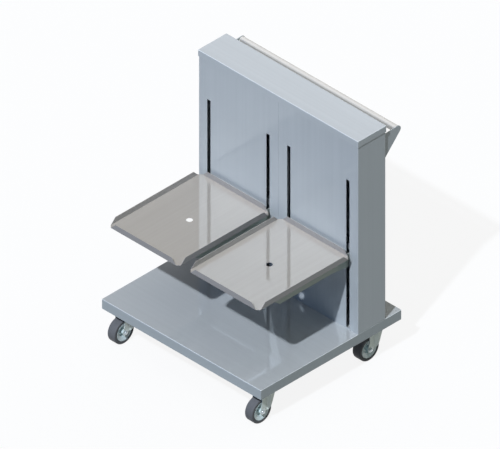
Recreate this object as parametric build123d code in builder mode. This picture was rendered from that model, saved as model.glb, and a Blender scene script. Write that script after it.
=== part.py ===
from build123d import *
import os

# Mobile two-stack tray dispenser: sprung tray platforms reach out of a slotted column on a castered base.
# Millimetres. X to the right, Y towards the push handle, Z up from the floor under the middle of the base.

# Sheet metal
SHEET = 1.5
BEND = 3.0
TOP_BEND = 2.5
FIT_GAP = 0.5

# Base
BASE_WIDTH = 858.0
BASE_DEPTH = 758.0
BASE_UNDERSIDE = 146.0
SKIRT_HEIGHT = 44.0
DECK = BASE_UNDERSIDE + SKIRT_HEIGHT
SKIRT_RETURN = 10.0
RAIL_WIDTH = 90.0
RAIL_FLANGE = 11.0
RAIL_WALL = 2.5
RAIL_LENGTH = BASE_DEPTH - 2 * (SHEET + SKIRT_RETURN + FIT_GAP)
STIFFENER_WIDTH = 110.0

# Column
COLUMN_FRONT = 144.0
COLUMN_REAR = 293.0
COLUMN_MIDDLE = (COLUMN_FRONT + COLUMN_REAR) / 2
CAP_TOP = 1092.0
CAP_SKIRT = 29.0
CAP_OVERHANG = 2.5
CASING_TOP = CAP_TOP - SHEET - FIT_GAP
SEAM_GAP = 0.8
REAR_RETURN = 52.0
POST_WIDTH = 30.0
POST_DEPTH = 40.0
POST_WALL = 2.0
BACK_PANEL_WIDTH = 800.0
BACK_PANEL_BOTTOM = DECK + FIT_GAP
BACK_PANEL_TOP = 1059.0

# Stacks, and the slots that their arms pass through
STACK_X = 215.25
ARM_REACH = 159.25
SLOT_WIDTH = 18.3
SLOT_BOTTOM = 195.0
SLOT_TOP = 884.0
SLOT_CORNER = 2.0
RISE = 275.0
DROP = 270.0

# Tray platforms
PLATFORM_WIDTH = 378.0
PLATFORM_DEPTH = 497.0
PLATFORM_FRONT = -368.0
PLATFORM_MIDDLE = PLATFORM_FRONT + PLATFORM_DEPTH / 2
PLATFORM_TOP = 536.0
PLATFORM_UNDERSIDE = PLATFORM_TOP - SHEET
LIP_HEIGHT = 25.5
LIP_CLEARANCE = 13.0
LIP_SLANT = 25.0
PLATFORM_HOLE = 27.0

# Carriage arms
ARM_PLATE = 4.0
ARM_FRONT = -250.0
ARM_DEPTH = 50.0
ARM_NOSE = 26.0
ARM_NOSE_RISE = 20.0
ARM_FLANGE = 25.0
ARM_FLANGE_REAR = 118.0
ARM_HEEL_START = 60.0
ARM_BOTTOM = 474.5
ARM_HEEL_END = 132.0
ARM_NECK_TOP = 598.0
ARM_INSIDE = 158.0
ARM_SHOULDER = 190.0
ARM_TOP = 731.0
ARM_REAR = 262.0
STUD_ROWS = (-215.0, -60.0, 95.0)
STUD_INSET = 14.0

# Guide rollers and tracks
ROLLER_RADIUS = 17.5
ROLLER_WIDTH = 14.0
ROLLER_START = 6.0
ROLLER_BORE = 5.05
ROLLER_CHAMFER = 1.0
PIN_RADIUS = 5.0
PIN_END = 22.0
UPPER_ROLLER = 706.0
LOWER_ROLLER = 502.0
TRACK_START = 5.0
TRACK_END = 26.0
TRACK_WALL = 2.0
TRACK_INSIDE = 36.0

# Springs and what they hang on
HEADER = 1031.0
HEADER_WALL = 2.5
HEADER_DEPTH = 100.0
HEADER_HEIGHT = 25.0
SPRING_Y = 237.0
SPRING_PITCH = 50.0
SPRING_COUNT = 5
SPRING_RADIUS = 11.0
SPRING_WIRE = 2.0
SPRING_COIL_BOTTOM = 536.0
SPRING_COIL_TOP = 1000.0
SPRING_HOOK_HEAD = 5.0
SPRING_HOOK_HEIGHT = 4.0
SPRING_HOLE = 3.0
SPRING_BAR = 487.0
SPRING_BAR_WIDTH = 36.0
SPRING_BAR_HEIGHT = 24.0
SPRING_BAR_WALL = 3.0
TIE_BAR = 25.0
TIE_BAR_Y = 176.0
TIE_BAR_Z = 551.0
BUMPER_RADIUS = 9.0
BUMPER_Y = 182.0
BUMPER_GAP = 0.5

# Push handle
HANDLE_Y = 366.0
HANDLE_Z = 1032.0
HANDLE_RADIUS = 15.0
HANDLE_WALL = 1.5
BRACKET_PLATE = 3.0
BRACKET_INSET = 8.0
BRACKET_DIP = 4.0
BRACKET_NOSE = 17.0
BRACKET_BOTTOM = 928.0
BRACKET_FLANGE = 20.0
BRACKET_SLOPE = 43.0

# Casters
SWIVEL_X = 370.0
SWIVEL_Y = 290.0
TRAIL = 45.0
WHEEL_RADIUS = 53.0
WHEEL_WIDTH = 40.0
RIM_RADIUS = 39.0
TYRE_SHOULDER = 4.0
AXLE_RADIUS = 6.0
HUB_BORE = 6.05
HUB_RADIUS = 11.0
HUB_LENGTH = 45.0
RIM_WIDTH = 39.0
RIM_LIP = 2.5
DISH_DEPTH = 7.0
RECESS_RADIUS = 21.0
WEB_THICKNESS = 8.0
CASTER_PLATE_X = 86.0
CASTER_PLATE_Y = 110.0
CASTER_PLATE = 4.0
CASTER_BOLT_X = 64.0
CASTER_BOLT_Y = 85.0
BOLT_RADIUS = 4.0
BOLT_HOLE = 4.5
BOLT_HEAD = 7.5
BOLT_HEAD_HEIGHT = 5.3
RACE_HEIGHT = 7.0
RACE_OUTER = 26.0
RACE_INNER = 17.0
RACE_GAP = 0.4
CROWN = BASE_UNDERSIDE - CASTER_PLATE - RACE_HEIGHT - RACE_GAP
CROWN_THICKNESS = 5.0
CROWN_RADIUS = 36.0
KINGPIN_RADIUS = 6.0
KINGPIN_BORE = 6.05
KINGPIN_NUT = 11.0
KINGPIN_NUT_HEIGHT = 8.0
LEG_INSIDE = 23.0
LEG_PLATE = 3.0
LEG_STRIP = 20.5
LEG_JOGGLE = 11.0
LEG_END = 13.0
LEG_FRONT_ANGLE = 165.0
LEG_TURN = 150.0
LEG_BROW = 4.0
LEG_TOE = 4.0
LEG_HEEL = 31.0
WING_REAR = 12.0
WASHER_RADIUS = 11.0
WASHER_HEIGHT = 1.5
AXLE_HEAD = 8.0
AXLE_HEAD_HEIGHT = 6.0
AXLE_DOME = 4.5

# Screws
SCREW_HEAD = 4.5
SCREW_HEAD_HEIGHT = 2.5
SCREW_SHANK = 2.0
SCREW_HOLE = 2.2
PANEL_SCREW_EDGE = 11.0
PANEL_SCREW_END = 40.0
PANEL_SCREW_COUNT = 4
BRACKET_SCREW_END = 18.0
BRACKET_SCREW_COUNT = 3

SIDES = {"left": -1, "right": 1}

# The right stack rests a little higher than the left one
LIFTS = {"left": 0.0, "right": 7.0}
CORNERS = {
    "front_left": (-SWIVEL_X, -SWIVEL_Y),
    "front_right": (SWIVEL_X, -SWIVEL_Y),
    "rear_left": (-SWIVEL_X, SWIVEL_Y),
    "rear_right": (SWIVEL_X, SWIVEL_Y),
}

os.makedirs("parts", exist_ok=True)


def keep(piece, name):
    piece.part.label = name
    export_step(piece.part, f"parts/{name}.step")


def facing(y, x=0, z=0):
    """Upright plane across the object at this depth, seen from the front: X to the right, Z up."""
    return Plane(origin=(x, y, z), x_dir=(1, 0, 0), z_dir=(0, -1, 0))


def side_on(x, y=0, z=0):
    """Upright plane along the object at this X, seen from the right: Y to the right, Z up."""
    return Plane(origin=(x, y, z), x_dir=(0, 1, 0), z_dir=(1, 0, 0))


def arm_x(side, reach):
    """Middle of an arm plate: reach is 1 on the arm away from the centre and -1 on the one beside it."""
    return side * (STACK_X + reach * ARM_REACH)


# Base deck: a folded pan, open below, with a return along the foot of its skirt
with BuildPart() as base_deck:
    with BuildSketch(Plane.XY.offset(BASE_UNDERSIDE)):
        Rectangle(BASE_WIDTH, BASE_DEPTH)
    extrude(amount=SKIRT_HEIGHT)
    fillet(base_deck.edges().filter_by(Axis.Z), BEND)
    fillet(base_deck.faces().sort_by(Axis.Z)[-1].edges(), TOP_BEND)
    offset(amount=-SHEET, openings=base_deck.faces().sort_by(Axis.Z)[0])
    with BuildSketch(Plane.XY.offset(BASE_UNDERSIDE)):
        Rectangle(BASE_WIDTH - 2 * SHEET, BASE_DEPTH - 2 * SHEET)
        Rectangle(
            BASE_WIDTH - 2 * (SHEET + SKIRT_RETURN),
            BASE_DEPTH - 2 * (SHEET + SKIRT_RETURN),
            mode=Mode.SUBTRACT,
        )
        fillet(vertices().group_by(SortBy.DISTANCE)[-1], BEND - SHEET)
    extrude(amount=SHEET)
keep(base_deck, "base_deck")

# Base rails: two hat channels under the deck, front to back, that the casters bolt to
RAIL_TOP = DECK - SHEET
with BuildPart() as base_rails:
    with BuildSketch(facing(-RAIL_LENGTH / 2)):
        for x in (-SWIVEL_X, SWIVEL_X):
            with Locations((x, BASE_UNDERSIDE)):
                Rectangle(RAIL_WIDTH, RAIL_TOP - BASE_UNDERSIDE, align=(Align.CENTER, Align.MIN))
            with Locations((x, BASE_UNDERSIDE + RAIL_WALL)):
                Rectangle(
                    RAIL_WIDTH - 2 * RAIL_WALL,
                    RAIL_TOP - BASE_UNDERSIDE,
                    align=(Align.CENTER, Align.MIN),
                    mode=Mode.SUBTRACT,
                )
            for edge in (-1, 1):
                with Locations((x + edge * (RAIL_WIDTH + RAIL_FLANGE) / 2, RAIL_TOP)):
                    Rectangle(RAIL_FLANGE, RAIL_WALL, align=(Align.CENTER, Align.MAX))
    extrude(amount=-RAIL_LENGTH)
    for x, y in CORNERS.values():
        with BuildSketch(Plane((x, y, BASE_UNDERSIDE))):
            with GridLocations(CASTER_BOLT_X, CASTER_BOLT_Y, 2, 2):
                Circle(BOLT_HOLE)
        extrude(amount=RAIL_WALL, mode=Mode.SUBTRACT)
keep(base_rails, "base_rails")

# Deck stiffener: a channel across the base under the column, between the rails
STIFFENER_LENGTH = 2 * (SWIVEL_X - RAIL_WIDTH / 2 - RAIL_FLANGE)
with BuildPart() as deck_stiffener:
    with BuildSketch(side_on(-STIFFENER_LENGTH / 2)):
        with Locations((COLUMN_MIDDLE, RAIL_TOP)):
            Rectangle(STIFFENER_WIDTH, SKIRT_HEIGHT - 2 * SHEET - BEND, align=(Align.CENTER, Align.MAX))
        with Locations((COLUMN_MIDDLE, RAIL_TOP - RAIL_WALL)):
            Rectangle(
                STIFFENER_WIDTH - 2 * RAIL_WALL,
                SKIRT_HEIGHT,
                align=(Align.CENTER, Align.MAX),
                mode=Mode.SUBTRACT,
            )
    extrude(amount=STIFFENER_LENGTH)
keep(deck_stiffener, "deck_stiffener")

# Column casing: each half is one sheet, folded round the front, the side and a return at the back
CASING_HEIGHT = CASING_TOP - DECK
with BuildPart() as right_casing:
    with BuildSketch(Plane.XY.offset(DECK)):
        with BuildLine():
            FilletPolyline(
                (SEAM_GAP / 2, COLUMN_FRONT),
                (BASE_WIDTH / 2, COLUMN_FRONT),
                (BASE_WIDTH / 2, COLUMN_REAR),
                (BASE_WIDTH / 2 - REAR_RETURN, COLUMN_REAR),
                radius=BEND,
            )
            offset(amount=SHEET, side=Side.LEFT)
        make_face()
    extrude(amount=CASING_HEIGHT)
    with BuildSketch(facing(COLUMN_FRONT)):
        with Locations(*[(arm_x(1, reach), (SLOT_BOTTOM + SLOT_TOP) / 2) for reach in (-1, 1)]):
            RectangleRounded(SLOT_WIDTH, SLOT_TOP - SLOT_BOTTOM, SLOT_CORNER)
    extrude(amount=-SHEET, mode=Mode.SUBTRACT)
keep(right_casing, "right_casing")

with BuildPart() as left_casing:
    mirror(right_casing.part, about=Plane.YZ)
keep(left_casing, "left_casing")

# Back panel: a flat service cover over the opening between the two returns
SCREW_COLUMN = BACK_PANEL_WIDTH / 2 - PANEL_SCREW_EDGE
SCREW_STEP = (BACK_PANEL_TOP - BACK_PANEL_BOTTOM - 2 * PANEL_SCREW_END) / (PANEL_SCREW_COUNT - 1)
PANEL_SCREWS = [
    (side * SCREW_COLUMN, BACK_PANEL_BOTTOM + PANEL_SCREW_END + row * SCREW_STEP)
    for side in SIDES.values()
    for row in range(PANEL_SCREW_COUNT)
]
with BuildPart() as back_panel:
    with BuildSketch(facing(COLUMN_REAR)):
        with Locations((0, (BACK_PANEL_BOTTOM + BACK_PANEL_TOP) / 2)):
            RectangleRounded(BACK_PANEL_WIDTH, BACK_PANEL_TOP - BACK_PANEL_BOTTOM, BEND)
        with Locations(*PANEL_SCREWS):
            Circle(SCREW_HOLE, mode=Mode.SUBTRACT)
    extrude(amount=-SHEET)
keep(back_panel, "back_panel")

# Top cap: a folded lid that drops over the top of both casing halves
CAP_WIDTH = BASE_WIDTH + 2 * CAP_OVERHANG
CAP_DEPTH = COLUMN_REAR - COLUMN_FRONT + 2 * CAP_OVERHANG
with BuildPart() as top_cap:
    with BuildSketch(Plane((0, COLUMN_MIDDLE, CAP_TOP))):
        Rectangle(CAP_WIDTH, CAP_DEPTH)
    extrude(amount=-CAP_SKIRT)
    fillet(top_cap.edges().filter_by(Axis.Z), BEND)
    fillet(top_cap.faces().sort_by(Axis.Z)[-1].edges(), TOP_BEND)
    offset(amount=-SHEET, openings=top_cap.faces().sort_by(Axis.Z)[0])
keep(top_cap, "top_cap")

# Centre post: a square tube behind the seam of the two casing halves
with BuildPart() as centre_post:
    with BuildSketch(Plane((0, COLUMN_FRONT + SHEET + POST_DEPTH / 2, DECK))):
        Rectangle(POST_WIDTH, POST_DEPTH)
        Rectangle(POST_WIDTH - 2 * POST_WALL, POST_DEPTH - 2 * POST_WALL, mode=Mode.SUBTRACT)
    extrude(amount=HEADER - DECK)
keep(centre_post, "centre_post")

# Guide tracks: one upright channel beside each slot, open towards the arm, for the rollers to run in
for name, side in SIDES.items():
    with BuildPart() as tracks:
        with BuildSketch(Plane.XY.offset(DECK)):
            for reach in (-1, 1):
                away = side * reach
                web = arm_x(side, reach) + away * (TRACK_START + TRACK_END) / 2
                with Locations((web, COLUMN_MIDDLE)):
                    Rectangle(TRACK_END - TRACK_START, TRACK_INSIDE + 2 * TRACK_WALL)
                with Locations((web - away * TRACK_WALL, COLUMN_MIDDLE)):
                    Rectangle(TRACK_END - TRACK_START, TRACK_INSIDE, mode=Mode.SUBTRACT)
        extrude(amount=HEADER - DECK)
    keep(tracks, f"{name}_tracks")

# Spring header: a channel across the top of the tracks that the springs hang from
SPRING_XS = [
    side * STACK_X + (step - (SPRING_COUNT - 1) / 2) * SPRING_PITCH
    for side in SIDES.values()
    for step in range(SPRING_COUNT)
]
HEADER_LENGTH = BASE_WIDTH - 2 * SHEET
with BuildPart() as spring_header:
    with BuildSketch(side_on(-HEADER_LENGTH / 2)):
        with Locations((COLUMN_MIDDLE, HEADER)):
            Rectangle(HEADER_DEPTH, HEADER_HEIGHT, align=(Align.CENTER, Align.MIN))
        with Locations((COLUMN_MIDDLE, HEADER + HEADER_WALL)):
            Rectangle(
                HEADER_DEPTH - 2 * HEADER_WALL,
                HEADER_HEIGHT,
                align=(Align.CENTER, Align.MIN),
                mode=Mode.SUBTRACT,
            )
    extrude(amount=HEADER_LENGTH)
    with BuildSketch(Plane.XY.offset(HEADER)):
        with Locations(*[(x, SPRING_Y) for x in SPRING_XS]):
            Circle(SPRING_HOLE)
    extrude(amount=HEADER_WALL, mode=Mode.SUBTRACT)
keep(spring_header, "spring_header")


def spring_outline(lift):
    """Half outline of one stretched spring with its hooks, in a plane through its own axis."""
    bar = SPRING_BAR + lift
    coil_bottom = SPRING_COIL_BOTTOM + lift
    head_bottom = bar - SPRING_HOOK_HEIGHT
    head_top = HEADER + HEADER_WALL
    return [
        (0, head_bottom),
        (SPRING_HOOK_HEAD, head_bottom),
        (SPRING_HOOK_HEAD, bar),
        (SPRING_WIRE, bar),
        (SPRING_WIRE, coil_bottom),
        (SPRING_RADIUS, coil_bottom),
        (SPRING_RADIUS, SPRING_COIL_TOP),
        (SPRING_WIRE, SPRING_COIL_TOP),
        (SPRING_WIRE, head_top),
        (SPRING_HOOK_HEAD, head_top),
        (SPRING_HOOK_HEAD, head_top + SPRING_HOOK_HEIGHT),
        (0, head_top + SPRING_HOOK_HEIGHT),
    ]


# Springs: five in a row for each stack, each a plain solid of the coil's outer size
for name, side in SIDES.items():
    with BuildPart() as springs:
        for x in [x for x in SPRING_XS if x * side > 0]:
            with BuildSketch(facing(SPRING_Y, x)):
                with BuildLine():
                    Polyline(*spring_outline(LIFTS[name]), close=True)
                make_face()
            revolve(axis=Axis((x, SPRING_Y, 0), (0, 0, 1)))
    keep(springs, f"{name}_springs")

# Stop bumpers: rubber buttons above and below each arm, at the ends of its travel
with BuildPart() as stop_bumpers:
    arm_spots = [(arm_x(side, reach), BUMPER_Y) for side in SIDES.values() for reach in (-1, 1)]
    with BuildSketch(Plane.XY.offset(DECK)):
        with Locations(*arm_spots):
            Circle(BUMPER_RADIUS)
    extrude(amount=ARM_BOTTOM - DROP - BUMPER_GAP - DECK)
    with BuildSketch(Plane.XY.offset(HEADER)):
        with Locations(*arm_spots):
            Circle(BUMPER_RADIUS)
    extrude(amount=ARM_TOP + RISE + BUMPER_GAP - HEADER)
keep(stop_bumpers, "stop_bumpers")

# Push handle: a tube between two plates that carry the column's sides out behind it
BRACKET_TOP = HANDLE_Z + BRACKET_NOSE
BRACKET_X = BASE_WIDTH / 2 - BRACKET_INSET
FLANGE_TOP = BRACKET_TOP - BRACKET_DIP
with BuildPart() as handle_tube:
    with BuildSketch(side_on(BRACKET_PLATE - BRACKET_X)):
        with Locations((HANDLE_Y, HANDLE_Z)):
            Circle(HANDLE_RADIUS)
            Circle(HANDLE_RADIUS - HANDLE_WALL, mode=Mode.SUBTRACT)
    extrude(amount=2 * (BRACKET_X - BRACKET_PLATE))
keep(handle_tube, "handle_tube")

BRACKET_STEP = (FLANGE_TOP - BRACKET_BOTTOM - 2 * BRACKET_SCREW_END) / (BRACKET_SCREW_COUNT - 1)
BRACKET_SCREWS = [
    (BRACKET_X - BRACKET_FLANGE / 2, BRACKET_BOTTOM + BRACKET_SCREW_END + row * BRACKET_STEP)
    for row in range(BRACKET_SCREW_COUNT)
]
with BuildPart() as right_handle_bracket:
    with BuildSketch(side_on(BRACKET_X)):
        with BuildLine():
            nose = CenterArc((HANDLE_Y, HANDLE_Z), BRACKET_NOSE, -BRACKET_SLOPE, 90 + BRACKET_SLOPE)
            Polyline(
                nose @ 1,
                (COLUMN_REAR, FLANGE_TOP),
                (COLUMN_REAR, BRACKET_BOTTOM),
                nose @ 0,
            )
        make_face()
    extrude(amount=-BRACKET_PLATE)
    with BuildSketch(facing(COLUMN_REAR)):
        with Locations((BRACKET_X, (BRACKET_BOTTOM + FLANGE_TOP) / 2)):
            Rectangle(BRACKET_FLANGE, FLANGE_TOP - BRACKET_BOTTOM, align=(Align.MAX, Align.CENTER))
        with Locations(*BRACKET_SCREWS):
            Circle(SCREW_HOLE, mode=Mode.SUBTRACT)
    extrude(amount=-BRACKET_PLATE)
keep(right_handle_bracket, "right_handle_bracket")

with BuildPart() as left_handle_bracket:
    mirror(right_handle_bracket.part, about=Plane.YZ)
keep(left_handle_bracket, "left_handle_bracket")

# Back screws: they hold the back panel and the handle brackets to the casing returns
SCREW_SEATS = {
    COLUMN_REAR + SHEET: PANEL_SCREWS,
    COLUMN_REAR + BRACKET_PLATE: [(side * x, z) for side in SIDES.values() for x, z in BRACKET_SCREWS],
}
with BuildPart() as back_screws:
    for seat, spots in SCREW_SEATS.items():
        with BuildSketch(facing(seat)):
            with Locations(*spots):
                Circle(SCREW_HEAD)
        extrude(amount=-SCREW_HEAD_HEIGHT)
        with BuildSketch(facing(seat)):
            with Locations(*spots):
                Circle(SCREW_SHANK)
        extrude(amount=seat - COLUMN_REAR)
keep(back_screws, "back_screws")

# Tray platforms: shallow pans with upturned lips that stop short of the corners
STUD_SPOTS = [
    (reach * (ARM_REACH - STUD_INSET), y)
    for reach in (-1, 1)
    for y in STUD_ROWS
]


def lip_outline(length):
    """Upright outline of one lip, standing on the platform's floor, with slanted ends."""
    foot = length / 2 - LIP_CLEARANCE
    return [
        (-foot, PLATFORM_UNDERSIDE),
        (foot, PLATFORM_UNDERSIDE),
        (foot - LIP_SLANT, PLATFORM_UNDERSIDE + LIP_HEIGHT),
        (LIP_SLANT - foot, PLATFORM_UNDERSIDE + LIP_HEIGHT),
    ]


for name, side in SIDES.items():
    middle = side * STACK_X
    lift = LIFTS[name]
    with BuildPart() as platform:
        with BuildSketch(Plane((middle, PLATFORM_MIDDLE, PLATFORM_UNDERSIDE + lift))):
            Rectangle(PLATFORM_WIDTH, PLATFORM_DEPTH)
            chamfer(vertices(), LIP_CLEARANCE)
            Circle(PLATFORM_HOLE / 2, mode=Mode.SUBTRACT)
        extrude(amount=SHEET)
        for edge in (-1, 1):
            outer_x = middle + edge * PLATFORM_WIDTH / 2
            with BuildSketch(side_on(outer_x, PLATFORM_MIDDLE, lift)):
                with BuildLine():
                    Polyline(*lip_outline(PLATFORM_DEPTH), close=True)
                make_face()
            extrude(amount=-edge * SHEET)
            outer_y = PLATFORM_MIDDLE + edge * PLATFORM_DEPTH / 2
            with BuildSketch(facing(outer_y, middle, lift)):
                with BuildLine():
                    Polyline(*lip_outline(PLATFORM_WIDTH), close=True)
                make_face()
            extrude(amount=edge * SHEET)
    keep(platform, f"{name}_platform")

# Carriage arms: a deep plate inside the column that reaches out through the slot under the platform
with BuildPart() as arm_blank:
    with BuildSketch(side_on(-ARM_PLATE / 2)):
        with BuildLine():
            Polyline(
                (ARM_FRONT, PLATFORM_UNDERSIDE),
                (ARM_INSIDE, PLATFORM_UNDERSIDE),
                (ARM_INSIDE, ARM_NECK_TOP),
                (ARM_SHOULDER, ARM_TOP),
                (ARM_REAR, ARM_TOP),
                (ARM_REAR, ARM_BOTTOM),
                (ARM_HEEL_END, ARM_BOTTOM),
                (ARM_HEEL_START, PLATFORM_UNDERSIDE - ARM_DEPTH),
                (ARM_FRONT + ARM_NOSE, PLATFORM_UNDERSIDE - ARM_DEPTH),
                (ARM_FRONT, PLATFORM_UNDERSIDE - ARM_DEPTH + ARM_NOSE_RISE),
                close=True,
            )
        make_face()
        with Locations((COLUMN_MIDDLE, UPPER_ROLLER), (COLUMN_MIDDLE, LOWER_ROLLER)):
            Circle(PIN_RADIUS, mode=Mode.SUBTRACT)
    extrude(amount=ARM_PLATE)
    with BuildSketch(Plane.XY.offset(PLATFORM_UNDERSIDE)):
        with Locations((-ARM_PLATE / 2, (ARM_FRONT + ARM_FLANGE_REAR) / 2)):
            Rectangle(ARM_FLANGE, ARM_FLANGE_REAR - ARM_FRONT, align=(Align.MIN, Align.CENTER))
        with Locations(*[(STUD_INSET, y) for y in STUD_ROWS]):
            Circle(BOLT_HOLE, mode=Mode.SUBTRACT)
    extrude(amount=-ARM_PLATE)

for name, side in SIDES.items():
    for arm, reach in (("outer", 1), ("inner", -1)):
        place = Location((arm_x(side, reach), 0, LIFTS[name]))
        with BuildPart() as carriage_arm:
            if side * reach < 0:
                add(arm_blank.part.moved(place))
            else:
                add(arm_blank.part.mirror(Plane.YZ).moved(place))
        keep(carriage_arm, f"{name}_{arm}_arm")

# Carriage bars: the spring bar and the tie bar hold the two arms of a stack apart inside the column
BAR_LENGTH = 2 * ARM_REACH - ARM_PLATE
for name, side in SIDES.items():
    start = side * STACK_X - BAR_LENGTH / 2
    lift = LIFTS[name]
    with BuildPart() as spring_bar:
        with BuildSketch(side_on(start, 0, lift)):
            with Locations((SPRING_Y, SPRING_BAR)):
                Rectangle(SPRING_BAR_WIDTH, SPRING_BAR_HEIGHT, align=(Align.CENTER, Align.MIN))
            with Locations((SPRING_Y, SPRING_BAR + SPRING_BAR_WALL)):
                Rectangle(
                    SPRING_BAR_WIDTH - 2 * SPRING_BAR_WALL,
                    SPRING_BAR_HEIGHT,
                    align=(Align.CENTER, Align.MIN),
                    mode=Mode.SUBTRACT,
                )
        extrude(amount=BAR_LENGTH)
        with BuildSketch(Plane.XY.offset(SPRING_BAR + lift)):
            with Locations(*[(x, SPRING_Y) for x in SPRING_XS if x * side > 0]):
                Circle(SPRING_HOLE)
        extrude(amount=SPRING_BAR_WALL, mode=Mode.SUBTRACT)
    keep(spring_bar, f"{name}_spring_bar")

    with BuildPart() as tie_bar:
        with BuildSketch(side_on(start, 0, lift)):
            with Locations((TIE_BAR_Y, TIE_BAR_Z)):
                Rectangle(TIE_BAR, TIE_BAR)
                Rectangle(TIE_BAR - 2 * POST_WALL, TIE_BAR - 2 * POST_WALL, mode=Mode.SUBTRACT)
        extrude(amount=BAR_LENGTH)
    keep(tie_bar, f"{name}_tie_bar")

# Platform nuts: welded studs under each platform, with the nuts that clamp it to the arm flanges
for name, side in SIDES.items():
    stud_root = PLATFORM_UNDERSIDE + LIFTS[name]
    with BuildPart() as platform_nuts:
        with BuildSketch(Plane((side * STACK_X, 0, stud_root))):
            with Locations(*STUD_SPOTS):
                Circle(BOLT_RADIUS)
        extrude(amount=-(ARM_PLATE + BOLT_HEAD_HEIGHT + BOLT_RADIUS))
        with BuildSketch(Plane((side * STACK_X, 0, stud_root - ARM_PLATE))):
            with Locations(*STUD_SPOTS):
                RegularPolygon(BOLT_HEAD, 6)
        extrude(amount=-BOLT_HEAD_HEIGHT)
    keep(platform_nuts, f"{name}_platform_nuts")

# Guide rollers and their pins: two on each arm, on the side of the plate that faces the track
for name, side in SIDES.items():
    lift = LIFTS[name]
    with BuildPart() as roller_pins:
        for reach in (-1, 1):
            away = side * reach
            with BuildSketch(side_on(arm_x(side, reach) - away * ARM_PLATE / 2, 0, lift)):
                with Locations((COLUMN_MIDDLE, UPPER_ROLLER), (COLUMN_MIDDLE, LOWER_ROLLER)):
                    Circle(PIN_RADIUS)
            extrude(amount=away * (ARM_PLATE / 2 + PIN_END))
    keep(roller_pins, f"{name}_roller_pins")

    for arm, reach in (("outer", 1), ("inner", -1)):
        away = side * reach
        for level, z in (("upper", UPPER_ROLLER), ("lower", LOWER_ROLLER)):
            with BuildPart() as roller:
                with BuildSketch(side_on(arm_x(side, reach) + away * ROLLER_START, 0, lift)):
                    with Locations((COLUMN_MIDDLE, z)):
                        Circle(ROLLER_RADIUS)
                        Circle(ROLLER_BORE, mode=Mode.SUBTRACT)
                extrude(amount=away * ROLLER_WIDTH)
                chamfer(roller.edges().filter_by(GeomType.CIRCLE).group_by(SortBy.RADIUS)[-1], ROLLER_CHAMFER)
            keep(roller, f"{name}_{arm}_{level}_roller")

# Caster plates: bolted under the rails, each with the four holes that its bolts pass through
with BuildPart() as caster_plates:
    for x, y in CORNERS.values():
        with BuildSketch(Plane((x, y, BASE_UNDERSIDE))):
            RectangleRounded(CASTER_PLATE_X, CASTER_PLATE_Y, BEND)
            with GridLocations(CASTER_BOLT_X, CASTER_BOLT_Y, 2, 2):
                Circle(BOLT_HOLE, mode=Mode.SUBTRACT)
            Circle(KINGPIN_RADIUS, mode=Mode.SUBTRACT)
        extrude(amount=-CASTER_PLATE)
keep(caster_plates, "caster_plates")

# Caster bolts: head under the plate, nut inside the rail
with BuildPart() as caster_bolts:
    plate_face = BASE_UNDERSIDE - CASTER_PLATE
    rail_face = BASE_UNDERSIDE + RAIL_WALL
    for x, y in CORNERS.values():
        with BuildSketch(Plane((x, y, plate_face))):
            with GridLocations(CASTER_BOLT_X, CASTER_BOLT_Y, 2, 2):
                Circle(BOLT_RADIUS)
        extrude(amount=rail_face + BOLT_HEAD_HEIGHT + BOLT_RADIUS - plate_face)
        with BuildSketch(Plane((x, y, plate_face))):
            with GridLocations(CASTER_BOLT_X, CASTER_BOLT_Y, 2, 2):
                RegularPolygon(BOLT_HEAD, 6)
        extrude(amount=-BOLT_HEAD_HEIGHT)
        with BuildSketch(Plane((x, y, rail_face))):
            with GridLocations(CASTER_BOLT_X, CASTER_BOLT_Y, 2, 2):
                RegularPolygon(BOLT_HEAD, 6)
        extrude(amount=BOLT_HEAD_HEIGHT)
keep(caster_bolts, "caster_bolts")

# Swivel races: the ball tracks between each plate and its fork
with BuildPart() as swivel_races:
    for x, y in CORNERS.values():
        with BuildSketch(Plane((x, y, BASE_UNDERSIDE - CASTER_PLATE))):
            Circle(RACE_OUTER)
            Circle(RACE_INNER, mode=Mode.SUBTRACT)
        extrude(amount=-RACE_HEIGHT)
keep(swivel_races, "swivel_races")

# Kingpins: each fork turns on one, held up by the nut under its crown
with BuildPart() as kingpins:
    nut_top = CROWN - CROWN_THICKNESS - RACE_GAP
    for x, y in CORNERS.values():
        with BuildSketch(Plane((x, y, BASE_UNDERSIDE))):
            Circle(KINGPIN_RADIUS)
        extrude(amount=nut_top - KINGPIN_NUT_HEIGHT - BASE_UNDERSIDE)
        with BuildSketch(Plane((x, y, nut_top))):
            RegularPolygon(KINGPIN_NUT, 6)
        extrude(amount=-KINGPIN_NUT_HEIGHT)
keep(kingpins, "kingpins")


def leg_section(edge):
    """Section of one fork leg from above: a strip beside the wheel, joggled out to a wing behind it."""
    strip_front = -TRAIL - LEG_END
    strip_rear = -TRAIL + LEG_STRIP
    wing_front = strip_rear + LEG_JOGGLE
    inner = edge * LEG_INSIDE
    outer = edge * (LEG_INSIDE + LEG_PLATE)
    step = edge * LEG_JOGGLE
    return [
        (inner, strip_front),
        (inner, strip_rear),
        (inner + step, wing_front),
        (inner + step, WING_REAR),
        (outer + step, WING_REAR),
        (outer + step, wing_front),
        (outer, strip_rear),
        (outer, strip_front),
    ]


def crown_outline():
    """Outline of the fork's crown from above, flush with the outer faces of both legs."""
    leg_face = LEG_INSIDE + LEG_PLATE
    strip_rear = -TRAIL + LEG_STRIP
    half = [
        (leg_face, -TRAIL - LEG_BROW),
        (leg_face, strip_rear),
        (leg_face + LEG_JOGGLE, strip_rear + LEG_JOGGLE),
        (leg_face + LEG_JOGGLE, WING_REAR),
    ]
    return half + [(-x, y) for x, y in reversed(half)]


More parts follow.
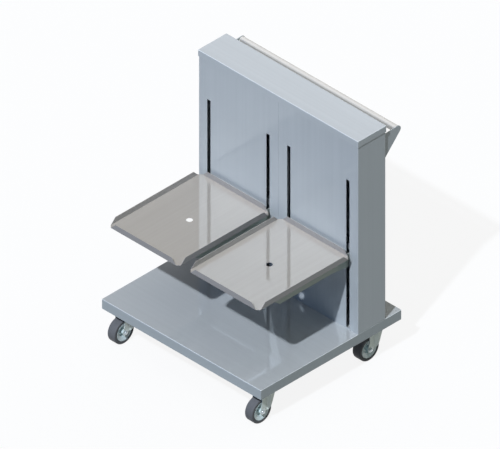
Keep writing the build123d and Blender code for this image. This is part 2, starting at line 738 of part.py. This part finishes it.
def hub_outline():
    """Half section of the wheel's hub, right of its middle: a dished rim round a deep recess and a boss."""
    return [
        (0, HUB_BORE),
        (HUB_LENGTH / 2, HUB_BORE),
        (HUB_LENGTH / 2, HUB_RADIUS),
        (WEB_THICKNESS / 2, HUB_RADIUS),
        (WEB_THICKNESS / 2, RECESS_RADIUS),
        (RIM_WIDTH / 2 - DISH_DEPTH, RECESS_RADIUS),
        (RIM_WIDTH / 2, RIM_RADIUS - RIM_LIP),
        (RIM_WIDTH / 2, RIM_RADIUS),
        (0, RIM_RADIUS),
    ]


# Caster forks, axles, tyres and hubs: every wheel trails towards the front of the base
for name, (x, y) in CORNERS.items():
    axle_y = y - TRAIL
    axle_line = Axis((x, axle_y, WHEEL_RADIUS), (1, 0, 0))

    with BuildPart() as fork:
        with BuildSketch(Plane((x, y, WHEEL_RADIUS - LEG_END))):
            for edge in (-1, 1):
                with BuildLine():
                    Polyline(*leg_section(edge), close=True)
                make_face()
        extrude(amount=CROWN - WHEEL_RADIUS + LEG_END)
        with BuildSketch(side_on(x, axle_y, WHEEL_RADIUS)):
            with BuildLine():
                end = CenterArc((0, 0), LEG_END, LEG_FRONT_ANGLE, LEG_TURN)
                Polyline(
                    end @ 1,
                    (LEG_STRIP + LEG_JOGGLE / 2, LEG_TOE),
                    (TRAIL - LEG_JOGGLE / 2, LEG_HEEL),
                    (TRAIL + WING_REAR, CROWN - WHEEL_RADIUS),
                    (-LEG_BROW, CROWN - WHEEL_RADIUS),
                    (-LEG_BROW, LEG_HEEL),
                    end @ 0,
                )
            make_face()
        extrude(amount=CASTER_PLATE_X, both=True, mode=Mode.INTERSECT)
        with BuildSketch(Plane((x, y, CROWN))):
            with BuildLine():
                Polyline(*crown_outline(), close=True)
            make_face()
            Circle(CROWN_RADIUS)
            Circle(KINGPIN_BORE, mode=Mode.SUBTRACT)
        extrude(amount=-CROWN_THICKNESS)
        with BuildSketch(side_on(x, axle_y, WHEEL_RADIUS)):
            Circle(AXLE_RADIUS)
        extrude(amount=CASTER_PLATE_X, both=True, mode=Mode.SUBTRACT)
    keep(fork, f"{name}_fork")

    leg_outside = LEG_INSIDE + LEG_PLATE
    with BuildPart() as axle:
        with BuildSketch(side_on(x, axle_y, WHEEL_RADIUS)):
            Circle(AXLE_RADIUS)
        extrude(amount=leg_outside, both=True)
        for edge in (-1, 1):
            with BuildSketch(side_on(x + edge * leg_outside, axle_y, WHEEL_RADIUS)):
                Circle(WASHER_RADIUS)
            extrude(amount=edge * WASHER_HEIGHT)
            with BuildSketch(side_on(x + edge * (leg_outside + WASHER_HEIGHT), axle_y, WHEEL_RADIUS)):
                Circle(AXLE_HEAD)
            extrude(amount=edge * AXLE_HEAD_HEIGHT)
        crown_edges = axle.edges().filter_by(GeomType.CIRCLE).group_by(Axis.X)
        fillet(crown_edges[0] + crown_edges[-1], AXLE_DOME)
    keep(axle, f"{name}_axle")

    with BuildPart() as tyre:
        with BuildSketch(facing(axle_y, x, WHEEL_RADIUS)):
            with Locations((0, RIM_RADIUS)):
                Rectangle(WHEEL_WIDTH, WHEEL_RADIUS - RIM_RADIUS, align=(Align.CENTER, Align.MIN))
            fillet(vertices().group_by(Axis.Z)[-1], TYRE_SHOULDER)
        revolve(axis=axle_line)
    keep(tyre, f"{name}_tyre")

    with BuildPart() as hub:
        with BuildSketch(facing(axle_y, x, WHEEL_RADIUS)):
            with BuildLine():
                Polyline(*hub_outline(), close=True)
            make_face()
            mirror(about=Plane.YZ)
        revolve(axis=axle_line)
    keep(hub, f"{name}_hub")
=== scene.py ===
import math

import bpy
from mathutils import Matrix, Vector


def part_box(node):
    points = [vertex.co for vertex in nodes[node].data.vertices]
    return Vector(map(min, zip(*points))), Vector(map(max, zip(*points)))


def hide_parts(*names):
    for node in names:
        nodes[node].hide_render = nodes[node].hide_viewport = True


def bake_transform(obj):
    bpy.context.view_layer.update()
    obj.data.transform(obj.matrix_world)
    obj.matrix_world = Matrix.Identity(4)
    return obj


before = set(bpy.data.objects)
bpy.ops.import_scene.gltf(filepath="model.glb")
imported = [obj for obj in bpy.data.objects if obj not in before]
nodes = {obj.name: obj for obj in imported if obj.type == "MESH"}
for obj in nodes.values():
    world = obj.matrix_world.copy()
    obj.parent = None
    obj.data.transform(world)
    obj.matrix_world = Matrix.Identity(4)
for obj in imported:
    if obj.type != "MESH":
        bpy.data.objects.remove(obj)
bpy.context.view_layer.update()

scene = bpy.context.scene

SIDES = ("left", "right")
ARMS = ("outer", "inner")
LEVELS = ("upper", "lower")
CORNERS = ("front_left", "front_right", "rear_left", "rear_right")

# The part of its range that noise mostly keeps to
NOISE_LOW = 0.3
NOISE_HIGH = 0.7
UNSTRETCHED = (1.0, 1.0, 1.0)

# The upward part of a normal where a face begins to count as a flat, and where it is one
FLAT_START = 0.5
FLAT_FULL = 0.9

# The largest component of a normal: up to the first a face is all bend, from the second it is square
BEND_FULL = 0.80
BEND_END = 0.98

# The upright part of a normal where a bend begins to count as one along a level edge, and where it is one
EDGE_START = 0.15
EDGE_FULL = 0.35

# Sockets of the Mix node, which has a set for each kind of data
MIX_SHARE = 0
MIX_FIRST_NUMBER = 2
MIX_SECOND_NUMBER = 3
MIX_NUMBER = 0
MIX_FIRST_COLOUR = 6
MIX_SECOND_COLOUR = 7
MIX_COLOUR = 2


# Node trees
def new_material(name):
    """A material with its node tree and its main shader."""
    material = bpy.data.materials.new(name)
    material.use_nodes = True
    tree = material.node_tree
    return material, tree, tree.nodes["Principled BSDF"]


def add(tree, kind, **values):
    """A node with its properties and its unlinked inputs set."""
    node = tree.nodes.new(kind)
    for key, value in values.items():
        if hasattr(node, key):
            setattr(node, key, value)
        else:
            node.inputs[key].default_value = value
    return node


def noise(tree, stretch, scale, detail):
    """Object-space noise, drawn out along the axes where stretch is small."""
    coordinates = add(tree, "ShaderNodeTexCoord")
    mapping = add(tree, "ShaderNodeMapping", Scale=stretch)
    texture = add(tree, "ShaderNodeTexNoise", Scale=scale, Detail=detail)
    tree.links.new(coordinates.outputs["Object"], mapping.inputs["Vector"])
    tree.links.new(mapping.outputs["Vector"], texture.inputs["Vector"])
    return texture.outputs["Fac"]


def span(tree, source, low, high, start=NOISE_LOW, stop=NOISE_HIGH):
    """The source from start to stop, spread over low to high."""
    node = add(tree, "ShaderNodeMapRange")
    node.inputs["From Min"].default_value = start
    node.inputs["From Max"].default_value = stop
    node.inputs["To Min"].default_value = low
    node.inputs["To Max"].default_value = high
    tree.links.new(source, node.inputs["Value"])
    return node.outputs["Result"]


def shades(tree, source, dark, light):
    """A colour between dark and light."""
    ramp = add(tree, "ShaderNodeValToRGB")
    first, last = ramp.color_ramp.elements
    first.position = NOISE_LOW
    first.color = (*dark, 1.0)
    last.position = NOISE_HIGH
    last.color = (*light, 1.0)
    tree.links.new(source, ramp.inputs["Fac"])
    return ramp.outputs["Color"]


def tone(tree, source, colour, spread):
    """One colour, a little lighter and darker from place to place."""
    dark = [c * (1.0 - spread) for c in colour]
    light = [c * (1.0 + spread) for c in colour]
    return shades(tree, source, dark, light)


def mixed(tree, share, first, second):
    """The first colour where the share is nought, the second where it is one."""
    node = add(tree, "ShaderNodeMix", data_type="RGBA")
    tree.links.new(share, node.inputs[MIX_SHARE])
    tree.links.new(first, node.inputs[MIX_FIRST_COLOUR])
    tree.links.new(second, node.inputs[MIX_SECOND_COLOUR])
    return node.outputs[MIX_COLOUR]


def combined(tree, operation, first, second):
    """One number from two."""
    node = add(tree, "ShaderNodeMath", operation=operation)
    tree.links.new(first, node.inputs[0])
    tree.links.new(second, node.inputs[1])
    return node.outputs[0]


def bump(tree, shader, source, strength, distance):
    """A fine relief in the surface."""
    node = add(tree, "ShaderNodeBump", Strength=strength, Distance=distance)
    tree.links.new(source, node.inputs["Height"])
    tree.links.new(node.outputs["Normal"], shader.inputs["Normal"])


def facing_up(tree):
    """One on flats that face up, nought on upright and downward faces. It places the painted light on
    flats, and their mirror.
    """
    coordinates = add(tree, "ShaderNodeTexCoord")
    axes = add(tree, "ShaderNodeSeparateXYZ")
    tree.links.new(coordinates.outputs["Normal"], axes.inputs["Vector"])
    return span(tree, axes.outputs["Z"], 0.0, 1.0, FLAT_START, FLAT_FULL)


def on_bends(tree):
    """Where the bend highlight is painted: one on rounded bends along level edges, nought on faces square
    to the axes and on upright bends.
    """
    coordinates = add(tree, "ShaderNodeTexCoord")
    size = add(tree, "ShaderNodeVectorMath", operation="ABSOLUTE")
    axes = add(tree, "ShaderNodeSeparateXYZ")
    tree.links.new(coordinates.outputs["Normal"], size.inputs[0])
    tree.links.new(size.outputs[0], axes.inputs["Vector"])
    across = combined(tree, "MAXIMUM", axes.outputs["X"], axes.outputs["Y"])
    largest = combined(tree, "MAXIMUM", across, axes.outputs["Z"])
    rounded = span(tree, largest, 1.0, 0.0, BEND_FULL, BEND_END)
    along_level = span(tree, axes.outputs["Z"], 0.0, 1.0, EDGE_START, EDGE_FULL)
    return combined(tree, "MULTIPLY", rounded, along_level)


# Steels: the grain runs along the axis where the stretch is small
GRAIN_X = (0.04, 4.0, 4.0)
GRAIN_Y = (4.0, 0.04, 4.0)
GRAIN_Z = (4.0, 4.0, 0.04)
EVEN = (3.0, 3.0, 3.0)
CLOUD_SCALE = 3.0
CLOUD_DETAIL = 3.0
STREAK_SCALE = 20.0
STREAK_DETAIL = 9.0
STREAK_SHARE = 0.65
TONE_SPREAD = 0.035
STEEL_SPECULAR = 0.1
GRAIN_DEPTH = 0.0002
SHEET_GRAIN = 0.03
PLATED_GRAIN = 0.01
TUBE_GRAIN = 0.005


def steel(name, upright, flat, stretch, mirror, rough, grain=SHEET_GRAIN, bend=None):
    """Steel with a grain in tone, gloss and surface, and painted light and shade where upright and flat
    colours differ. A pair for mirror is for upright faces, then flats.
    """
    material, tree, shader = new_material(name)
    cloud = noise(tree, UNSTRETCHED, CLOUD_SCALE, CLOUD_DETAIL)
    streak = noise(tree, stretch, STREAK_SCALE, STREAK_DETAIL)
    brushed = add(tree, "ShaderNodeMix", Factor=STREAK_SHARE)
    tree.links.new(cloud, brushed.inputs[MIX_FIRST_NUMBER])
    tree.links.new(streak, brushed.inputs[MIX_SECOND_NUMBER])
    shade = brushed.outputs[MIX_NUMBER]
    up = facing_up(tree)
    # Painted light and shade: flats that face up take the flat colour, upright faces the upright colour
    colour = mixed(tree, up, tone(tree, shade, upright, TONE_SPREAD), tone(tree, shade, flat, TONE_SPREAD))
    # Painted highlight: a light colour laid on rounded bends along level edges
    if bend:
        colour = mixed(tree, on_bends(tree), colour, tone(tree, shade, bend, TONE_SPREAD))
    tree.links.new(colour, shader.inputs["Base Color"])
    if isinstance(mirror, tuple):
        tree.links.new(span(tree, up, mirror[0], mirror[1], 0.0, 1.0), shader.inputs["Metallic"])
    else:
        shader.inputs["Metallic"].default_value = mirror
    tree.links.new(span(tree, streak, rough[0], rough[1]), shader.inputs["Roughness"])
    shader.inputs["Specular IOR Level"].default_value = STEEL_SPECULAR
    bump(tree, shader, streak, grain, GRAIN_DEPTH)
    return material


SATIN = (0.51, 0.54, 0.55)
# Painted shade: the deck's skirts darker than its lighter top, though they are one sheet
SHADED_DECK_SIDE = (0.42, 0.455, 0.46)
# Painted highlight colour for the rounded bends along level edges of the cap and deck
PAINTED_BEND_HIGHLIGHT = (0.92, 0.95, 0.96)
# Painted light: the cap's top lighter than its skirt, which keeps the panel colour
CAP_FLAT = (0.69, 0.70, 0.70)
DECK_FLAT = (0.63, 0.645, 0.645)
# Painted light and shade: the pans' floors far lighter than their lips, though one sheet
PAN_SIDE = (0.35, 0.335, 0.325)
PAN_FLAT = (0.835, 0.77, 0.695)
# Painted shade: the arms' upright faces darker and greener than their tops
ARM_SIDE = (0.47, 0.52, 0.47)
ARM_FLAT = (0.60, 0.61, 0.59)
# Painted shade: the handle tube darker on its upright faces than on top, for a dark strip along its lower
# front
TUBE_SIDE = (0.70, 0.66, 0.61)
TUBE_FLAT = (0.79, 0.74, 0.68)
SPANGLED = (0.50, 0.52, 0.53)
PLATED = (0.66, 0.70, 0.71)
FORK_SIDE = (0.76, 0.82, 0.76)
FORK_FLAT = (0.76, 0.82, 0.78)
WIRE = (0.32, 0.33, 0.34)
SHEEN = 0.08
POLISHED = (0.03, 0.05)
BRUSHED = (0.10, 0.16)

panel_steel = steel("panel_steel", SATIN, SATIN, GRAIN_Z, mirror=SHEEN, rough=BRUSHED)
cap_steel = steel("cap_steel", SATIN, CAP_FLAT, GRAIN_X, mirror=(SHEEN, 0.16), rough=BRUSHED, bend=PAINTED_BEND_HIGHLIGHT)
deck_steel = steel(
    "deck_steel", SHADED_DECK_SIDE, DECK_FLAT, GRAIN_X, mirror=(SHEEN, 0.34), rough=POLISHED, bend=PAINTED_BEND_HIGHLIGHT
)
pan_steel = steel("pan_steel", PAN_SIDE, PAN_FLAT, GRAIN_Y, mirror=(SHEEN, 0.56), rough=POLISHED)
arm_steel = steel("arm_steel", ARM_SIDE, ARM_FLAT, GRAIN_Y, mirror=(SHEEN, 0.30), rough=BRUSHED)
tube_steel = steel(
    "tube_steel", TUBE_SIDE, TUBE_FLAT, GRAIN_X, mirror=(0.60, 0.10), rough=(0.22, 0.30), grain=TUBE_GRAIN
)
galvanised = steel("galvanised", SPANGLED, SPANGLED, EVEN, mirror=0.4, rough=(0.35, 0.5))
zinc = steel("zinc", PLATED, PLATED, EVEN, mirror=0.55, rough=(0.18, 0.28), grain=PLATED_GRAIN)
fork_steel = steel("fork_steel", FORK_SIDE, FORK_FLAT, EVEN, mirror=(0.18, 0.3), rough=(0.25, 0.35))
spring_steel = steel("spring_steel", WIRE, WIRE, EVEN, mirror=0.8, rough=(0.3, 0.4))

# Rubber and plastic
MOTTLE_SCALE = 14.0
MOTTLE_DETAIL = 4.0
SKIN_DETAIL = 5.0
SKIN_DEPTH = 0.0004
TYRE_DARK = (0.14, 0.14, 0.145)
TYRE_LIGHT = (0.17, 0.17, 0.175)
BUMPER_DARK = (0.012, 0.012, 0.012)
BUMPER_LIGHT = (0.025, 0.025, 0.025)
HUB_DARK = (0.74, 0.85, 0.85)
HUB_LIGHT = (0.80, 0.91, 0.90)
NYLON_DARK = (0.66, 0.65, 0.61)
NYLON_LIGHT = (0.76, 0.75, 0.71)


def moulded(name, dark, light, rough, skin_scale, relief, specular):
    """Moulded rubber or plastic: a little uneven in tone, with a fine skin."""
    material, tree, shader = new_material(name)
    mottle = noise(tree, UNSTRETCHED, MOTTLE_SCALE, MOTTLE_DETAIL)
    skin = noise(tree, UNSTRETCHED, skin_scale, SKIN_DETAIL)
    tree.links.new(shades(tree, mottle, dark, light), shader.inputs["Base Color"])
    tree.links.new(span(tree, skin, rough[0], rough[1]), shader.inputs["Roughness"])
    shader.inputs["Specular IOR Level"].default_value = specular
    bump(tree, shader, skin, relief, SKIN_DEPTH)
    return material


tyre_rubber = moulded(
    "tyre_rubber", TYRE_DARK, TYRE_LIGHT, rough=(0.38, 0.5), skin_scale=900.0, relief=0.25, specular=0.1
)
bumper_rubber = moulded(
    "bumper_rubber", BUMPER_DARK, BUMPER_LIGHT, rough=(0.6, 0.8), skin_scale=700.0, relief=0.3, specular=0.3
)
hub_plastic = moulded(
    "hub_plastic", HUB_DARK, HUB_LIGHT, rough=(0.25, 0.32), skin_scale=300.0, relief=0.04, specular=1.0
)
nylon = moulded(
    "nylon", NYLON_DARK, NYLON_LIGHT, rough=(0.35, 0.5), skin_scale=400.0, relief=0.1, specular=0.5
)


def dress(material, *names):
    """Gives the named nodes one material."""
    for name in names:
        nodes[name].data.materials.clear()
        nodes[name].data.materials.append(material)


dress(deck_steel, "base_deck")
dress(cap_steel, "top_cap")
dress(panel_steel, "back_panel")
dress(tube_steel, "handle_tube")
dress(galvanised, "base_rails", "deck_stiffener", "centre_post", "spring_header", "caster_plates")
dress(zinc, "back_screws", "caster_bolts", "kingpins", "swivel_races")
dress(bumper_rubber, "stop_bumpers")
for side in SIDES:
    dress(panel_steel, f"{side}_casing", f"{side}_handle_bracket")
    dress(pan_steel, f"{side}_platform")
    dress(galvanised, f"{side}_tracks", f"{side}_tie_bar", f"{side}_spring_bar")
    dress(zinc, f"{side}_roller_pins", f"{side}_platform_nuts")
    for arm in ARMS:
        dress(arm_steel, f"{side}_{arm}_arm")
        for level in LEVELS:
            dress(nylon, f"{side}_{arm}_{level}_roller")
for corner in CORNERS:
    dress(fork_steel, f"{corner}_fork")
    dress(zinc, f"{corner}_axle")
    dress(tyre_rubber, f"{corner}_tyre")
    dress(hub_plastic, f"{corner}_hub")

# Wound springs, which the carriages stretch and shorten
SPRING_COUNT = 5
COIL_TURNS = 44
TURN_STEPS = 12
WIRE_RADIUS = 0.0015
SHANK_RADIUS = 0.002
HEAD_RADIUS = 0.005
HEAD_DEPTH = 0.004
HEAD_BEVEL = 0.001
FOOT_SHANK = 0.053
TOP_SHANK = 0.0375


def spring_wire(x, y, reach, foot, top):
    """Places and radii along one spring: a headed shank, a coil that spirals out and in, a headed shank."""
    coil_foot = foot + FOOT_SHANK
    rise = top - TOP_SHANK - coil_foot
    steps = COIL_TURNS * TURN_STEPS
    lower = [
        (x, y, foot, HEAD_RADIUS),
        (x, y, foot + HEAD_DEPTH - HEAD_BEVEL, HEAD_RADIUS),
        (x, y, foot + HEAD_DEPTH, SHANK_RADIUS),
    ]
    upper = [
        (x, y, top - HEAD_DEPTH, SHANK_RADIUS),
        (x, y, top - HEAD_DEPTH + HEAD_BEVEL, HEAD_RADIUS),
        (x, y, top, HEAD_RADIUS),
    ]
    coil = []
    for step in range(steps + 1):
        angle = math.tau * step / TURN_STEPS
        out = reach * min(1.0, step / TURN_STEPS, (steps - step) / TURN_STEPS)
        place = (x + out * math.cos(angle), y + out * math.sin(angle), coil_foot + rise * step / steps)
        coil.append((*place, WIRE_RADIUS))
    return lower + coil + upper


def wound_springs(side):
    """The springs of one stack, hung from the header and hooked under the carriage's bar."""
    low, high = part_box(f"{side}_springs")
    radius = (high.y - low.y) / 2
    middle = (low + high) / 2
    pitch = (high.x - low.x - 2 * radius) / (SPRING_COUNT - 1)
    curve = bpy.data.curves.new(f"{side}_spring_wire", "CURVE")
    curve.dimensions = "3D"
    curve.bevel_depth = 1.0
    curve.bevel_resolution = 1
    curve.use_fill_caps = True
    for number in range(SPRING_COUNT):
        x = low.x + radius + number * pitch
        wire = spring_wire(x, middle.y, radius - WIRE_RADIUS, low.z, high.z)
        spline = curve.splines.new("POLY")
        spline.points.add(len(wire) - 1)
        for point, (px, py, pz, thickness) in zip(spline.points, wire):
            point.co = (px, py, pz, 1.0)
            point.radius = thickness
    winding = bpy.data.objects.new(curve.name, curve)
    mesh = bpy.data.meshes.new_from_object(winding)
    bpy.data.objects.remove(winding)
    mesh.shade_smooth()
    mesh.materials.clear()
    mesh.materials.append(spring_steel)
    springs = bpy.data.objects.new(f"{side}_coil_springs", mesh)
    scene.collection.objects.link(springs)
    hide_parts(f"{side}_springs")
    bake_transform(springs)


for side in SIDES:
    wound_springs(side)

# Floor and low wall: how pale they are to bounced light and to the camera, and their share of plain white
BOUNCED_PALE = 0.12
SEEN_PALE = 0.85
FLOOR_WHITE = 0.88
UNDERSIDE_WHITE = 1.0
FLOOR_ROUGHNESS = 0.9
FLOOR_RADIUS = 28.0
WALL_FOOT = -8.0
WALL_TOP = 2.0
RIM_STEPS = 48


def seen_directly(tree):
    """One for what the camera sees, also in metal and through glass."""
    path = add(tree, "ShaderNodeLightPath")
    mirrored = combined(tree, "MAXIMUM", path.outputs["Is Camera Ray"], path.outputs["Is Glossy Ray"])
    return combined(tree, "MAXIMUM", mirrored, path.outputs["Is Transmission Ray"])


def white_paint():
    """Paint that looks white but keeps a shadow, and throws little light back at the object."""
    material, tree, shader = new_material("floor_paint")
    seen = seen_directly(tree)
    tree.links.new(span(tree, seen, BOUNCED_PALE, SEEN_PALE, 0.0, 1.0), shader.inputs["Base Color"])
    shader.inputs["Roughness"].default_value = FLOOR_ROUGHNESS
    shader.inputs["Specular IOR Level"].default_value = 0.0
    white = add(tree, "ShaderNodeEmission", Color=(1.0, 1.0, 1.0, 1.0), Strength=1.0)
    underside = add(tree, "ShaderNodeNewGeometry").outputs["Backfacing"]
    plain = span(tree, underside, FLOOR_WHITE, UNDERSIDE_WHITE, 0.0, 1.0)
    blend = add(tree, "ShaderNodeMixShader")
    tree.links.new(combined(tree, "MULTIPLY", seen, plain), blend.inputs["Fac"])
    tree.links.new(shader.outputs["BSDF"], blend.inputs[1])
    tree.links.new(white.outputs["Emission"], blend.inputs[2])
    tree.links.new(blend.outputs["Shader"], tree.nodes["Material Output"].inputs["Surface"])
    return material


def stage_sheet(name, corners, faces, material):
    """A sheet of the studio, which isn't part of the object."""
    mesh = bpy.data.meshes.new(name)
    mesh.from_pydata(corners, [], faces)
    mesh.materials.append(material)
    sheet = bpy.data.objects.new(name, mesh)
    scene.collection.objects.link(sheet)


floor_paint = white_paint()
turns = [math.tau * i / RIM_STEPS for i in range(RIM_STEPS)]
rim = [(FLOOR_RADIUS * math.cos(a), FLOOR_RADIUS * math.sin(a)) for a in turns]
wall_corners = [(x, y, z) for z in (WALL_FOOT, WALL_TOP) for x, y in rim]
wall_faces = []
for this in range(RIM_STEPS):
    following = (this + 1) % RIM_STEPS
    wall_faces.append((this, following, RIM_STEPS + following, RIM_STEPS + this))
stage_sheet("floor", [(x, y, 0.0) for x, y in rim], [tuple(range(RIM_STEPS))], floor_paint)
stage_sheet("low_wall", wall_corners, wall_faces, floor_paint)

# Soft sky and two lamps, of which the wide one behind isn't mirrored as a white disc
SKY_BASE = (0.01, 0.01, 0.01)


def glow(tree, source, sign, power, colour):
    """Light that falls off with the angle from one end of an axis."""
    towards = add(tree, "ShaderNodeMath", operation="MULTIPLY", use_clamp=True)
    towards.inputs[1].default_value = sign
    tree.links.new(source, towards.inputs[0])
    falloff = add(tree, "ShaderNodeMath", operation="POWER")
    falloff.inputs[1].default_value = power
    tree.links.new(towards.outputs[0], falloff.inputs[0])
    tinted = add(tree, "ShaderNodeVectorMath", operation="SCALE")
    tinted.inputs[0].default_value = colour
    tree.links.new(falloff.outputs[0], tinted.inputs["Scale"])
    return tinted.outputs[0]


def soft_sky():
    """Light overhead, cool in front, faintly green on the right, with fills behind and on the left."""
    world = bpy.data.worlds.new("studio")
    scene.world = world
    world.use_nodes = True
    tree = world.node_tree
    background = tree.nodes["Background"]
    direction = add(tree, "ShaderNodeTexCoord")
    axes = add(tree, "ShaderNodeSeparateXYZ")
    tree.links.new(direction.outputs["Generated"], axes.inputs["Vector"])
    x, y, z = (axes.outputs[name] for name in "XYZ")
    glows = [
        glow(tree, z, sign=1.0, power=4.0, colour=(0.79, 0.755, 0.69)),
        glow(tree, y, sign=-1.0, power=1.0, colour=(0.0, 0.07, 0.26)),
        glow(tree, x, sign=1.0, power=1.0, colour=(0.09, 0.12, 0.05)),
        glow(tree, y, sign=1.0, power=8.0, colour=(1.30, 1.42, 1.55)),
        glow(tree, x, sign=-1.0, power=8.0, colour=(0.85, 0.95, 1.06)),
    ]
    total = add(tree, "ShaderNodeVectorMath", operation="ADD")
    total.inputs[1].default_value = SKY_BASE
    tree.links.new(glows[0], total.inputs[0])
    for extra in glows[1:]:
        step = add(tree, "ShaderNodeVectorMath", operation="ADD")
        tree.links.new(total.outputs[0], step.inputs[0])
        tree.links.new(extra, step.inputs[1])
        total = step
    tree.links.new(total.outputs[0], background.inputs["Color"])
    background.inputs["Strength"].default_value = 1.0


def sun(name, energy, colour, width, towards):
    """A distant lamp, as wide in the sky as the angle says."""
    light = bpy.data.lights.new(name, "SUN")
    light.energy = energy
    light.color = colour
    light.angle = math.radians(width)
    lamp = bpy.data.objects.new(name, light)
    lamp.rotation_euler = Vector(towards).to_track_quat("-Z", "Y").to_euler()
    scene.collection.objects.link(lamp)
    return lamp


soft_sky()
sun("key", energy=2.6, colour=(0.92, 1.0, 1.12), width=1.5, towards=(-0.21, 0.62, -0.756))
back_fill = sun(
    "back_fill", energy=0.6, colour=(0.95, 1.0, 1.06), width=40.0, towards=(0.5, -0.85, -0.15)
)
back_fill.visible_glossy = False

# Camera: an isometric view without perspective
VIEW_CENTRE = (-0.00437, -0.00437, 0.5619)
VIEW_TOWARDS = (-1.0, 1.0, -1.0)
VIEW_WIDTH = 1.905
VIEW_DISTANCE = 6.0
VIEW_END = 60.0
camera = bpy.data.cameras.new("camera")
camera.type = "ORTHO"
camera.ortho_scale = VIEW_WIDTH
camera.clip_end = VIEW_END
camera_object = bpy.data.objects.new("camera", camera)
view = Vector(VIEW_TOWARDS).normalized()
camera_object.location = Vector(VIEW_CENTRE) - VIEW_DISTANCE * view
camera_object.rotation_euler = view.to_track_quat("-Z", "Y").to_euler()
scene.collection.objects.link(camera_object)
scene.camera = camera_object
scene.view_settings.view_transform = "Standard"
